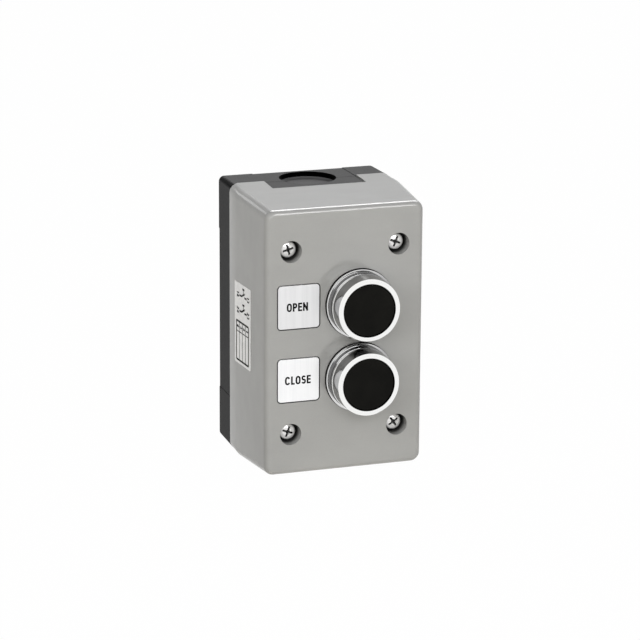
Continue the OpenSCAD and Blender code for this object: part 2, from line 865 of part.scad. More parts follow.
module contact_housing() {
    color("#3a3c3f") difference() {
        union() {
            difference() {
                block(-block_len / 2, block_len / 2, -block_half, lid_y, block_front, block_rear);
                block(-inner_x, inner_x, floor_y, lid_y + over, inner_front, inner_rear);
            }
            rod(post_front, inner_rear + over, post_r);
            block(-post_r, post_r, floor_y - over, 0, post_front + rest_margin, inner_rear + over);
            left_and_right() {
                block(strip_in, strip_out, floor_y - over, -strip_h / 2,
                    strip_front - rest_margin, strip_rear + rest_margin);
                block(contact_x - anvil_half, contact_x + anvil_half, floor_y - over, strip_h / 2,
                    strip_rear, strip_rear + anvil_t);
            }
            at_pegs() translate([0, 0, floor_y - over])
                cylinder(h = lid_y - floor_y + over, r = peg_post_r, $fn = coarse);
        }
        rod(block_front - over, inner_front + over, tip_r + fit);
        rod(post_front - over, tail_end + travel + stop_gap, tail_r + fit);
        left_and_right() {
            translate([terminal_x, 0, 0]) rod(inner_rear - over, block_rear + over, driver_r);
            block(inner_x - over, block_len / 2 + over, -wire_slot_h / 2, wire_slot_h / 2,
                strip_rear, strip_rear + wire_slot_len);
        }
        latch_notches();
        at_pegs() translate([0, 0, lid_y - peg_len - stop_gap])
            cylinder(h = peg_len + stop_gap + over, r = peg_r + fit, $fn = coarse);
    }
}

// The notches that the hooks of the collar's arms drop into
module latch_notches() {
    x = arm_w / 2 + latch_clear;
    deep = hook_in + latch_clear - arm_gap;
    both_ends() block(-x, x, block_half - deep, block_half + over,
        arm_end - hook_len - latch_clear, arm_end + latch_clear);
}

module contact_lid() {
    color("#4a4d50") {
        difference() {
            block(-block_len / 2, block_len / 2, lid_y, block_half, block_front, block_rear);
            latch_notches();
        }
        at_pegs() translate([0, 0, lid_y - peg_len])
            cylinder(h = peg_len + lid_t / 2, r = peg_r, $fn = coarse);
    }
}

// The slide of the contact block. The bridge and its spring sit in its window.
module contact_carriage() {
    color("#e4e2da") {
        rod(tip_front, carriage_front + carriage_plate / 2, tip_r);
        difference() {
            block(-carriage_w / 2, carriage_w / 2, -carriage_h / 2, carriage_h / 2,
                carriage_front, carriage_rear);
            block(-carriage_w, carriage_w, -window_h / 2, window_h / 2, window_front, bridge_rear);
        }
        rod(carriage_rear - carriage_back / 2, tail_end, tail_r);
    }
}

module contact_bridge() {
    color("#b98a4e") {
        block(-bridge_x, bridge_x, -strip_h / 2, strip_h / 2, bridge_front, bridge_rear);
        left_and_right() translate([contact_x, 0, 0])
            rod(bridge_rear - strip_t / 2, moving_face, contact_r);
    }
}

module overtravel_spring() {
    color("#c3c5c8")
        coil(overtravel_r, overtravel_wire, window_front + fit, bridge_front - fit, overtravel_turns);
}

module carriage_spring() {
    color("#c3c5c8")
        coil(carriage_spring_r, carriage_wire, carriage_rear + fit, post_front - fit, carriage_turns);
}

module fixed_contacts() {
    color("#c08f52") left_and_right() difference() {
        union() {
            block(strip_in, strip_out, -strip_h / 2, strip_h / 2, strip_front, strip_rear);
            translate([contact_x, 0, 0]) rod(fixed_face, strip_front + strip_t / 2, contact_r);
        }
        translate([terminal_x, 0, 0]) rod(strip_front - over, strip_rear + over, terminal_r + fit);
    }
}

module terminal_clamps() {
    color("#cfd1d2") left_and_right() translate([terminal_x, 0, 0]) difference() {
        block(-clamp_w / 2, clamp_w / 2, -clamp_h / 2, clamp_h / 2, clamp_front, terminal_seat);
        rod(clamp_front - over, terminal_seat + over, terminal_r + screw_play);
    }
}

module terminal_screws() {
    color("#d5d6d8") left_and_right() translate([terminal_x, 0, 0]) {
        difference() {
            rod(terminal_seat, terminal_seat + terminal_head_t, terminal_head_r);
            block(-slot_w / 2, slot_w / 2, -terminal_head_r - over, terminal_head_r + over,
                terminal_seat + terminal_head_t - slot_deep, terminal_seat + terminal_head_t + over);
        }
        rod(terminal_seat - terminal_len, terminal_seat + terminal_head_t / 2, terminal_r);
    }
}

base();
cover();
cover_seal();
cover_screws();
screw_washers();
screw_inserts();
rating_label();
on_face(-plate_x, open_plate_y) legend_plate();  // open_legend_plate
on_face(-plate_x, close_plate_y) legend_plate();  // close_legend_plate
at_open() bezel();  // open_bezel
at_open() barrel();  // open_barrel
at_open() panel_seal();  // open_panel_seal
at_open() lock_nut();  // open_lock_nut
at_open() cap();  // open_cap
at_open() stem();  // open_stem
at_open() retaining_clip();  // open_retaining_clip
at_open() return_spring();  // open_return_spring
at_open() collar();  // open_collar
at_open() collar_screw();  // open_collar_screw
at_open() contact_housing();  // open_contact_housing
at_open() contact_lid();  // open_contact_lid
at_open() contact_carriage();  // open_contact_carriage
at_open() contact_bridge();  // open_contact_bridge
at_open() overtravel_spring();  // open_overtravel_spring
at_open() carriage_spring();  // open_carriage_spring
at_open() fixed_contacts();  // open_fixed_contacts
at_open() terminal_clamps();  // open_terminal_clamps
at_open() terminal_screws();  // open_terminal_screws
at_close() bezel();  // close_bezel
at_close() barrel();  // close_barrel
at_close() panel_seal();  // close_panel_seal
at_close() lock_nut();  // close_lock_nut
at_close() cap();  // close_cap
at_close() stem();  // close_stem
at_close() retaining_clip();  // close_retaining_clip
at_close() return_spring();  // close_return_spring
at_close() collar();  // close_collar
at_close() collar_screw();  // close_collar_screw
at_close() contact_housing();  // close_contact_housing
at_close() contact_lid();  // close_contact_lid
at_close() contact_carriage();  // close_contact_carriage
at_close() contact_bridge();  // close_contact_bridge
at_close() overtravel_spring();  // close_overtravel_spring
at_close() carriage_spring();  // close_carriage_spring
at_close() fixed_contacts();  // close_fixed_contacts
at_close() terminal_clamps();  // close_terminal_clamps
at_close() terminal_screws();  // close_terminal_screws
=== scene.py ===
import math

import bmesh
import bpy
from mathutils import Matrix, Vector


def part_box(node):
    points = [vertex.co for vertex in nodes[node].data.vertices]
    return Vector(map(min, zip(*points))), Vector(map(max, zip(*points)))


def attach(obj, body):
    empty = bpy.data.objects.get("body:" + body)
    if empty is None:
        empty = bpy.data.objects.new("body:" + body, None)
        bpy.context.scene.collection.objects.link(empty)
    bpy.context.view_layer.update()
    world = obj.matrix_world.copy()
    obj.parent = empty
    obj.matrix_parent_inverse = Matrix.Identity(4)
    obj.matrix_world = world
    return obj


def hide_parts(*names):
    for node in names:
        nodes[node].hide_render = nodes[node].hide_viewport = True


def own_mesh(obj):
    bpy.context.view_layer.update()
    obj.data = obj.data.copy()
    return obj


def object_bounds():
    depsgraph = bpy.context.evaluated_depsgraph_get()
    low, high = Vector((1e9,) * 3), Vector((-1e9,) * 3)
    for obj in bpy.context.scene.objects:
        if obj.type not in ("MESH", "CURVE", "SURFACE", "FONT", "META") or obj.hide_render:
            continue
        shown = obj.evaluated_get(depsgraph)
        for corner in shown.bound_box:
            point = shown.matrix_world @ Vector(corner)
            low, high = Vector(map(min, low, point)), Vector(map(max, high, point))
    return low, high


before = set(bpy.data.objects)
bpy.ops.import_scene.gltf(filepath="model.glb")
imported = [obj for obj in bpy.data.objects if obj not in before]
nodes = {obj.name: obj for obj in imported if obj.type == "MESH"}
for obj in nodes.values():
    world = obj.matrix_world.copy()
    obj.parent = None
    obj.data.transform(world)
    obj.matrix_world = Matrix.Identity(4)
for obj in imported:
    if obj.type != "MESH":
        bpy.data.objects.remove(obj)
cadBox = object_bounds()
mm = 0.001
perMetre = 1000  # millimetres in a metre
units = ("open", "close")  # the two buttons, upper and lower
print("frame loaded,", len(nodes), "nodes")


def metres(lengths):
    return [v * mm for v in lengths]


# the camera, solved on edges, holes and plate corners of the photo: degrees, metres and pixels
shot = {
    "azimuth": -18.765,
    "elevation": 15.696,
    "roll": 0.341,
    "distance": 1.152068,
    "focalPixels": 2936.158,
    "targetPixel": (344.607, 339.363),
    "picture": 640,
    "sensor": 36.0,
    "target": (0, -0.06, 0),
    "clip": (0.05, 50),
}


def placeCamera():
    a, e, r = (math.radians(shot[k]) for k in ("azimuth", "elevation", "roll"))
    back = Vector((math.sin(a) * math.cos(e), -math.cos(a) * math.cos(e), math.sin(e)))
    flatRight = Vector((math.cos(a), math.sin(a), 0))
    flatUp = back.cross(flatRight)
    right = flatRight * math.cos(r) + flatUp * math.sin(r)
    up = flatUp * math.cos(r) - flatRight * math.sin(r)
    half = shot["picture"] / 2
    perPixel = shot["distance"] / shot["focalPixels"]
    aside = (shot["targetPixel"][0] - half) * perPixel
    above = (half - shot["targetPixel"][1]) * perPixel
    data = bpy.data.cameras.new("camera")
    data.sensor_width = shot["sensor"]
    data.lens = shot["focalPixels"] / shot["picture"] * shot["sensor"]
    data.clip_start, data.clip_end = shot["clip"]
    camera = bpy.data.objects.new("camera", data)
    spot = Vector(shot["target"]) + back * shot["distance"] - right * aside - up * above
    turned = Matrix((right, up, back)).transposed().to_4x4()
    camera.matrix_world = Matrix.Translation(spot) @ turned
    bpy.context.scene.collection.objects.link(camera)
    bpy.context.scene.camera = camera


placeCamera()
print("camera placed")


# one output socket, so that sums on it can be written as Python
class Wire:
    def __init__(self, tree, socket):
        self.tree, self.socket = tree, socket

    def math(self, operation, first, second):
        return self.tree.node("ShaderNodeMath", {"operation": operation}, {0: first, 1: second})

    def __add__(self, other):
        return self.math("ADD", self, other)

    def __radd__(self, other):
        return self.math("ADD", other, self)

    def __sub__(self, other):
        return self.math("SUBTRACT", self, other)

    def __rsub__(self, other):
        return self.math("SUBTRACT", other, self)

    def __mul__(self, other):
        return self.math("MULTIPLY", self, other)

    def __rmul__(self, other):
        return self.math("MULTIPLY", other, self)

    def __pow__(self, other):
        return self.math("POWER", self, other)

    def __gt__(self, other):
        return self.math("GREATER_THAN", self, other)

    def __lt__(self, other):
        return self.math("LESS_THAN", self, other)

    def __or__(self, other):
        return self.math("MAXIMUM", self, other)

    def __abs__(self):
        return self.math("ABSOLUTE", self, 0.0)


class Nodes:
    def __init__(self, tree):
        self.tree = tree

    # any node: its settings first, then what its sockets hold or are linked to
    def node(self, kind, settings=None, sockets=None, output=0):
        made = self.tree.nodes.new(kind)
        for name, value in (settings or {}).items():
            setattr(made, name, value)
        for name, value in (sockets or {}).items():
            if isinstance(value, Wire):
                self.tree.links.new(value.socket, made.inputs[name])
            else:
                made.inputs[name].default_value = value
        return Wire(self, made.outputs[output])


# a noise texture lies mostly between these values: the narrower pair gives clearer marks
softMarks = (0.3, 0.7)
clearMarks = (0.35, 0.65)
noiseMiddle = 0.5
bevelSamples = 6


class Look(Nodes):
    def __init__(self, name):
        self.material = bpy.data.materials.new(name)
        self.material.use_nodes = True
        super().__init__(self.material.node_tree)
        self.shader = self.tree.nodes["Principled BSDF"]
        self.place = self.node("ShaderNodeTexCoord", output="Object")

    def vector(self, operation, first, second):
        return self.node("ShaderNodeVectorMath", {"operation": operation}, {0: first, 1: second})

    def axes(self, place=None):
        place = place or self.place
        return [self.node("ShaderNodeSeparateXYZ", None, {0: place}, i) for i in range(3)]

    # noise whose blotches are about this many millimetres across on each axis
    def noise(self, size, detail, rough=0.5, place=None):
        size = size if hasattr(size, "__len__") else (size, size, size)
        spread = self.vector("MULTIPLY", place or self.place, tuple(1 / (s * mm) for s in size))
        sockets = {"Vector": spread, "Scale": 1.0, "Detail": detail, "Roughness": rough}
        return self.node("ShaderNodeTexNoise", None, sockets)

    # two textures as one, with this share of the first
    def mixed(self, first, second, share=0.5):
        return first * share + second * (1 - share)

    def span(self, value, low, high, toLow=0.0, toHigh=1.0):
        sockets = {0: value, 1: low, 2: high, 3: toLow, 4: toHigh}
        return self.node("ShaderNodeMapRange", {"clamp": True}, sockets)

    # 1 between two values and 0 outside them
    def within(self, value, low, high):
        return (value > low) * (value < high)

    def blend(self, factor, first, second):
        first, second = (c if isinstance(c, Wire) else (*c, 1) for c in (first, second))
        sockets = {0: factor, 6: first, 7: second}
        return self.node("ShaderNodeMix", {"data_type": "RGBA"}, sockets, 2)

    # relief of this depth in mm, with the piece's edges eased over this many mm
    def bump(self, height, depth, edge=0.0):
        sockets = {"Height": height, "Distance": depth * mm, "Strength": 1.0}
        if edge:
            eased = {"Radius": edge * mm}
            sockets["Normal"] = self.node("ShaderNodeBevel", {"samples": bevelSamples}, eased)
        return self.node("ShaderNodeBump", None, sockets)

    def finish(self, values):
        for name, value in values.items():
            socket = self.shader.inputs[name]
            if isinstance(value, Wire):
                self.tree.links.new(value.socket, socket)
            elif hasattr(value, "__len__"):
                socket.default_value = (*value, 1)
            else:
                socket.default_value = value
        return self.material


# satin grey paint on the cover, with painted shade: dark in the slots round the legend plates and
# deep in the screw holes
coverPaint = {
    "light": (0.366, 0.366, 0.357),
    "dark": (0.33, 0.33, 0.322),
    # the slot colour is painted shade, for the slots round the legend plates and the screw holes
    "slotShade": (0.05, 0.05, 0.048),
    "slotX": (-28.0, -10.0),
    "slotY": (-59.93, -58.8),
    "slotZ": ((-24.2, -5.7), (5.5, 24.0)),
    "screwAt": (22.15, 37.05),
    "screwHole": 4.6,
    "shadeY": (-58.0, -55.4),
    "cloudSize": 38,
    "streakSize": (20, 5, 9),
    "speckSize": 0.35,
    "speckShare": 0.35,
    "speckRelief": 0.2,
    "peelSize": 1.8,
    "peelDepth": 0.0022,
    "glossSize": 14,
    "roughness": (0.34, 0.42),
    "specular": 0.15,
    "coat": 0.6,
    "coatRoughness": 0.06,
    "edge": 0.25,
}


def paintLook():
    s = coverPaint
    look = Look("coverPaint")
    cloud = look.noise(s["cloudSize"], detail=3)
    speck = look.noise(s["speckSize"], detail=2)
    peel = look.noise(s["peelSize"], detail=1)
    streak = look.noise(s["streakSize"], detail=3)
    shade = look.mixed(cloud, streak) + (speck - noiseMiddle) * s["speckShare"]
    paint = look.blend(look.span(shade, *softMarks), s["dark"], s["light"])
    x, y, z = look.axes()
    # the slots round the legend plates are painted dark as shade
    beside = look.within(x, *metres(s["slotX"])) * look.within(y, *metres(s["slotY"]))
    upper, lower = (look.within(z, *metres(reach)) for reach in s["slotZ"])
    across, along = (abs(axis) - place for axis, place in zip((x, z), metres(s["screwAt"])))
    fromScrew = (across * across + along * along) ** 0.5
    # deep in the screw holes the paint is darkened as painted shade
    holeShade = (fromScrew < s["screwHole"] * mm) * look.span(y, *metres(s["shadeY"]))
    return look.finish({
        "Base Color": look.blend(holeShade | beside * (upper | lower), paint, s["slotShade"]),
        "Roughness": look.span(look.noise(s["glossSize"], detail=2), *softMarks, *s["roughness"]),
        "Specular IOR Level": s["specular"],
        "Coat Weight": s["coat"],
        "Coat Roughness": s["coatRoughness"],
        "Normal": look.bump(peel + speck * s["speckRelief"], s["peelDepth"], s["edge"]),
    })


# black base, with painted shade and light: blacker on the round walls of the knock-outs as painted
# shade and at the corners as a painted dark reflection, and paler on their floors as painted light
basePlastic = {
    "dark": (0.018, 0.018, 0.0185),
    "light": (0.028, 0.028, 0.0285),
    "wall": (0.0012, 0.0012, 0.0012),
    "wallDull": 0.35,
    "floor": (0.095, 0.095, 0.096),
    "knockoutY": -13.1,
    "wallRadius": (11.38, 11.56),
    "wallZ": (52.75, 54.86),
    "floorZ": (51.0, 52.8),
    "cornerX": (31.3, 32.3),
    "cornerZ": (52.9, 53.9),
    "driftSize": 22,
    "grainSize": 0.28,
    "grainRough": 0.6,
    "grainShare": 0.6,
    "grainDepth": 0.018,
    "roughness": (0.5, 0.62),
    "specular": 0.07,
    "edge": 0.2,
}


def baseLook():
    s = basePlastic
    look = Look("baseMoulding")
    grain = look.noise(s["grainSize"], detail=3, rough=s["grainRough"])
    drift = look.noise(s["driftSize"], detail=2)
    x, y, z = look.axes()
    fromCentre = (x * x + (y - s["knockoutY"] * mm) ** 2.0) ** 0.5
    # the knock-outs' round walls are painted near black as shade
    onWall = look.within(fromCentre, *metres(s["wallRadius"]))
    onWall = onWall * look.within(abs(z), *metres(s["wallZ"]))
    # the corners are painted black as a dark reflection
    atCorner = look.span(abs(x), *metres(s["cornerX"])) * look.span(abs(z), *metres(s["cornerZ"]))
    # walls and corners are painted black and metallic as shade and dark reflection, and made rougher
    shadedDull = onWall | atCorner
    mottle = look.span(look.mixed(grain, drift, s["grainShare"]), *clearMarks)
    plastic = look.blend(mottle, s["dark"], s["light"])
    # the knock-outs' floors are painted paler as light against their shade
    onFloor = fromCentre < s["wallRadius"][0] * mm
    onFloor = onFloor * look.within(abs(z), *metres(s["floorZ"]))
    plastic = look.blend(onFloor, plastic, s["floor"])
    return look.finish({
        "Base Color": look.blend(shadedDull, plastic, s["wall"]),
        "Roughness": look.span(grain, *clearMarks, *s["roughness"]) + shadedDull * s["wallDull"],
        "Metallic": shadedDull,
        "Specular IOR Level": s["specular"],
        "Normal": look.bump(grain, s["grainDepth"], s["edge"]),
    })


# plain moulded plastics, rubbers and inks, each with its own colour, grain and gloss
moulded = {
    "sealRubber": {
        "dark": (0.003, 0.003, 0.003), "light": (0.007, 0.007, 0.007),
        "grain": 0.3, "depth": 0.01, "roughness": (0.6, 0.8), "specular": 0.06,
    },
    "capPlastic": {
        "dark": (0.003, 0.003, 0.0026), "light": (0.0072, 0.007, 0.006),
        "grain": 0.42, "depth": 0.012, "roughness": (0.46, 0.6), "specular": 0.05,
    },
    "slidePlastic": {
        "dark": (0.7, 0.68, 0.62), "light": (0.79, 0.77, 0.72),
        "grain": 0.6, "depth": 0.005, "roughness": (0.36, 0.46), "specular": 0.5,
    },
    "blockPlastic": {
        "dark": (0.03, 0.032, 0.035), "light": (0.045, 0.047, 0.05),
        "grain": 0.35, "depth": 0.01, "roughness": (0.4, 0.52), "specular": 0.5,
    },
    "lidPlastic": {
        "dark": (0.055, 0.058, 0.062), "light": (0.075, 0.078, 0.082),
        "grain": 0.35, "depth": 0.01, "roughness": (0.4, 0.52), "specular": 0.5,
    },
    "labelFilm": {
        "dark": (0.92, 0.92, 0.92), "light": (0.96, 0.96, 0.96),
        "grain": 1.4, "depth": 0.002, "roughness": (0.24, 0.32), "specular": 0.5, "coat": 0.7,
    },
    "printInk": {
        "dark": (0.003, 0.003, 0.003), "light": (0.008, 0.008, 0.008),
        "grain": 0.2, "depth": 0.002, "roughness": (0.5, 0.65), "specular": 0.08,
    },
}
mouldedMottle = {"driftSize": 9, "grainRough": 0.6, "grainShare": 0.5}


def mouldedLook(name):
    s, mottle = moulded[name], mouldedMottle
    look = Look(name)
    grain = look.noise(s["grain"], detail=3, rough=mottle["grainRough"])
    drift = look.noise(mottle["driftSize"], detail=2)
    shade = look.span(look.mixed(grain, drift, mottle["grainShare"]), *clearMarks)
    return look.finish({
        "Base Color": look.blend(shade, s["dark"], s["light"]),
        "Roughness": look.span(drift, *clearMarks, *s["roughness"]),
        "Specular IOR Level": s["specular"],
        "Coat Weight": s.get("coat", 0.0),
        "Normal": look.bump(grain, s["depth"]),
    })


# metals that are drawn, stamped or cast: colour, streak size on each axis and gloss
metals = {
    "insertBrass": {
        "dark": (0.5, 0.36, 0.13), "light": (0.66, 0.5, 0.2),
        "streak": (0.2, 0.2, 2), "roughness": (0.22, 0.36),
    },
    "contactBrass": {
        "dark": (0.5, 0.28, 0.13), "light": (0.66, 0.4, 0.2),
        "streak": (3, 0.15, 0.3), "roughness": (0.24, 0.38),
    },
    "springSteel": {
        "dark": (0.42, 0.43, 0.45), "light": (0.6, 0.61, 0.63),
        "streak": (0.5, 0.5, 0.5), "roughness": (0.2, 0.34),
    },
    "operatorMetal": {
        "dark": (0.38, 0.39, 0.4), "light": (0.5, 0.51, 0.52),
        "streak": (0.6, 0.3, 0.6), "roughness": (0.34, 0.5),
    },
    "platedSteel": {
        "dark": (0.6, 0.6, 0.6), "light": (0.78, 0.78, 0.77),
        "streak": (0.25, 0.25, 0.25), "roughness": (0.18, 0.32),
    },
}
metalMottle = {"driftSize": 5, "streakRough": 0.6, "streakShare": 0.6, "depth": 0.004}


def metalLook(name):
    s, mottle = metals[name], metalMottle
    look = Look(name)
    streak = look.noise(s["streak"], detail=3, rough=mottle["streakRough"])
    drift = look.noise(mottle["driftSize"], detail=2)
    shade = look.span(look.mixed(streak, drift, mottle["streakShare"]), *clearMarks)
    return look.finish({
        "Base Color": look.blend(shade, s["dark"], s["light"]),
        "Metallic": 1.0,
        "Roughness": look.span(streak, *clearMarks, *s["roughness"]),
        "Normal": look.bump(streak, mottle["depth"]),
    })


# brushed plates, one a little darker than the other: the open plate's darker colour is painted shade
legendPlate = {
    "open": {"light": (0.77, 0.77, 0.775), "dark": (0.69, 0.69, 0.695)},
    "close": {"light": (0.92, 0.92, 0.92), "dark": (0.84, 0.845, 0.85)},
    "streak": (0.14, 6, 22),
    "streakRough": 0.65,
    "broadStreak": (1.3, 8, 60),
    "streakSpan": (0.34, 0.64),
    "streakDepth": 0.0018,
    "metallic": 0.9,
    "roughness": (0.3, 0.44),
    "edge": 0.12,
}


def legendLook(unit):
    s = legendPlate
    look = Look(unit + "LegendAluminium")
    fine = look.noise(s["streak"], detail=3, rough=s["streakRough"])
    broad = look.noise(s["broadStreak"], detail=2)
    grain = look.span(look.mixed(fine, broad), *s["streakSpan"])
    return look.finish({
        "Base Color": look.blend(grain, s[unit]["dark"], s[unit]["light"]),
        "Metallic": s["metallic"],
        "Roughness": look.span(fine, *softMarks, *s["roughness"]),
        "Normal": look.bump(fine, s["streakDepth"], s["edge"]),
    })


# chromed bezel, by height above the cover's face in mm: flange with a rim, dark neck, bead and wall;
# the darker rim, neck and wall are painted reflections
# wallTurn, beadTurn and rimTurn are two angles in radians, from the right over the top, and a share
# of the painted light: up to the first angle only that share is left, and from the second one on all
# of it, as everywhere below the bezel's middle
# blackTurn is a painted dark reflection in a wall: half its width, where it has faded, and its middle
bezelChrome = {
    "bright": (0.93, 0.93, 0.92),
    "rim": (0.72, 0.72, 0.72),
    "wall": (0.41, 0.41, 0.41),
    "neck": (0.13, 0.13, 0.13),
    "black": (0.012, 0.012, 0.012),
    "flangeTop": 2.1,
    "rimRadius": 13.1,
    "neckTop": 4.8,
    "wallHeights": (6.0, 11.86),
    "wallTurn": (1.95, 2.75, 0.5),
    "beadTurn": (1.85, 2.15, 0.2),
    "rimTurn": (0.5, 1.5, 0.35),
    "blackTurn": (0.1, 0.3, 1.83),
    "blackShare": {"open": 0.0, "close": 0.9},
    "reflectionBands": {"Scale": 2.6, "Detail": 2.0, "Roughness": 0.5},
    "reflectionBandsLeast": 0.8,
    "turning": 0.12,
    "turningRough": 0.6,
    "turningDepth": 0.0004,
    "dust": (0.5, 0.5, 0.5),
    "dustShare": 0.1,
    "roughness": (0.07, 0.15),
}


def chromeLook(unit, centre):
    s = bezelChrome
    look = Look(unit + "BezelChrome")
    x, y, z = look.axes(look.vector("SUBTRACT", look.place, centre))
    radius = (x * x + z * z) ** 0.5
    height = faceY * perMetre - look.axes()[1] * perMetre
    around = look.node("ShaderNodeMath", {"operation": "ARCTAN2"}, {0: z, 1: x})
    rings = look.node("ShaderNodeCombineXYZ", None, {0: radius, 1: y, 2: 0.0})
    marks = look.noise(s["turning"], detail=2, rough=s["turningRough"], place=rings)
    # bands round the wall that vary its painted reflection
    reflectionBands = look.node("ShaderNodeTexNoise", {"noise_dimensions": "1D"}, {"W": around, **s["reflectionBands"]})
    onRim = (height < s["flangeTop"]) * (radius > s["rimRadius"] * mm)
    onWall = look.within(height, *s["wallHeights"])

    def lit(turn):
        fromTop, toSide, least = s[turn]
        return look.span(around, fromTop, toSide, least, 1.0) | (around < 0.0)

    # the upper bezel's dark side, painted as a reflection into the lower bezel's wall
    near, far, middle = s["blackTurn"]
    reflected = look.span(abs(around - middle), near, far, s["blackShare"][unit], 0.0)
    # the wall, bead, neck and rim tones below are painted reflections, lighter where the angles let
    # in painted light
    light = lit("wallTurn") * look.span(reflectionBands, *softMarks, 1.0, s["reflectionBandsLeast"])
    wall = look.blend(light, s["neck"], s["wall"])
    wall = look.blend(reflected, wall, s["black"])
    onBead = look.within(height, s["neckTop"], s["wallHeights"][0])
    bead = look.blend(lit("beadTurn"), s["neck"], s["bright"])
    tone = look.blend(onBead, s["bright"], bead)
    tone = look.blend(onWall, tone, wall)
    tone = look.blend(height < s["neckTop"], tone, s["neck"])
    tone = look.blend(onRim, tone, look.blend(lit("rimTurn"), s["neck"], s["rim"]))
    return look.finish({
        "Base Color": look.blend(look.span(marks, *softMarks) * s["dustShare"], tone, s["dust"]),
        "Metallic": 1.0,
        "Roughness": look.span(marks, *clearMarks, *s["roughness"]),
        "Normal": look.bump(marks, s["turningDepth"]),
    })


# bright screw heads, painted dark as shade and made rougher in the cross
screwFinish = {
    "light": (0.98, 0.98, 0.97),
    "dark": (0.86, 0.86, 0.86),
    "recess": (0.01, 0.01, 0.01),
    "recessY": (-55.84, -55.54),
    "recessDull": 0.3,
    "headSeat": -54.1,
    "facing": (-0.5, -0.3),
    "metallic": 0.3,
    "markSize": 0.3,
    "markDepth": 0.003,
    "roughness": (0.14, 0.26),
}


def screwLook():
    s = screwFinish
    look = Look("coverScrewSteel")
    marks = look.noise(s["markSize"], detail=2)
    y = look.axes()[1]
    # the cross recess is painted dark as shade
    inRecess = look.span(y, *metres(s["recessY"])) * (y < s["headSeat"] * mm)
    normal = look.node("ShaderNodeNewGeometry", output="Normal")
    facingOut = look.span(look.axes(normal)[1], *s["facing"])
    bright = look.blend(look.span(marks, *clearMarks), s["dark"], s["light"])
    shadedDull = inRecess * facingOut * s["recessDull"]
    return look.finish({
        "Base Color": look.blend(inRecess, bright, s["recess"]),
        "Metallic": s["metallic"],
        "Roughness": look.span(marks, *clearMarks, *s["roughness"]) + shadedDull,
        "Normal": look.bump(marks, s["markDepth"]),
    })


finishes = {
    "coverPaint": paintLook(),
    "basePlastic": baseLook(),
    "openLegend": legendLook("open"),
    "closeLegend": legendLook("close"),
    "coverScrewSteel": screwLook(),
}
finishes.update({name: mouldedLook(name) for name in moulded})
finishes.update({name: metalLook(name) for name in metals})
print("finishes made,", len(finishes))


smoothing = {"sharpAngle": 32, "weld": 0.002}


# a CAD node keeps its mesh: it is only shaded smooth and split at its sharp edges
def rounded(piece):
    for face in piece.data.polygons:
        face.use_smooth = True
    if "custom_normal" in piece.data.attributes:
        piece.data.attributes.remove(piece.data.attributes["custom_normal"])
    weld = piece.modifiers.new("weld", "WELD")
    weld.merge_threshold = smoothing["weld"] * mm
    split = piece.modifiers.new("split", "EDGE_SPLIT")
    split.split_angle = math.radians(smoothing["sharpAngle"])
    piece.modifiers.new("weighted", "WEIGHTED_NORMAL").keep_sharp = True


def wear(node, material):
    piece = nodes[node]
    piece.data.materials.clear()
    piece.data.materials.append(material)
    rounded(piece)


enclosureFinish = {
    "base": "basePlastic",
    "cover": "coverPaint",
    "cover_seal": "sealRubber",
    "cover_screws": "coverScrewSteel",
    "screw_washers": "sealRubber",
    "screw_inserts": "insertBrass",
    "rating_label": "labelFilm",
    "open_legend_plate": "openLegend",
    "close_legend_plate": "closeLegend",
}
unitFinish = {
    "barrel": "operatorMetal",
    "panel_seal": "sealRubber",
    "lock_nut": "operatorMetal",
    "cap": "capPlastic",
    "stem": "slidePlastic",
    "retaining_clip": "springSteel",
    "return_spring": "springSteel",
    "collar": "blockPlastic",
    "collar_screw": "platedSteel",
    "contact_housing": "blockPlastic",
    "contact_lid": "lidPlastic",
    "contact_carriage": "slidePlastic",
    "contact_bridge": "contactBrass",
    "overtravel_spring": "springSteel",
    "carriage_spring": "springSteel",
    "fixed_contacts": "contactBrass",
    "terminal_clamps": "platedSteel",
    "terminal_screws": "platedSteel",
}
for node, finish in enclosureFinish.items():
    wear(node, finishes[finish])
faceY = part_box("cover")[0].y
centres = {}
for unit in units:
    low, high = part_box(unit + "_bezel")
    centres[unit] = (low + high) / 2
    wear(unit + "_bezel", chromeLook(unit, tuple(centres[unit])))
    for part, finish in unitFinish.items():
        wear(unit + "_" + part, finishes[finish])
print("nodes dressed")


def toPiece(name, bm, smooth=True):
    mesh = bpy.data.meshes.new(name)
    bm.to_mesh(mesh)
    bm.free()
    for face in mesh.polygons:
        face.use_smooth = smooth
    piece = bpy.data.objects.new(name, mesh)
    bpy.context.scene.collection.objects.link(piece)
    return piece


# springs that shorten: they stand for the plain coils
# wire is half the wire's thickness and travel is the joint's, both in mm; dead turns lie flat
springs = {
    "return_spring": {
        "piece": "ReturnSpring", "turns": 7, "wire": 0.45, "dead": 0.9,
        "joint": "press", "travel": 4.0,
    },
    "carriage_spring": {
        "piece": "CarriageSpring", "turns": 4, "wire": 0.3, "dead": 0.9,
        "joint": "contact_travel", "travel": 4.0,
    },
}
coilSteps = {"round": 12, "perTurn": 28}


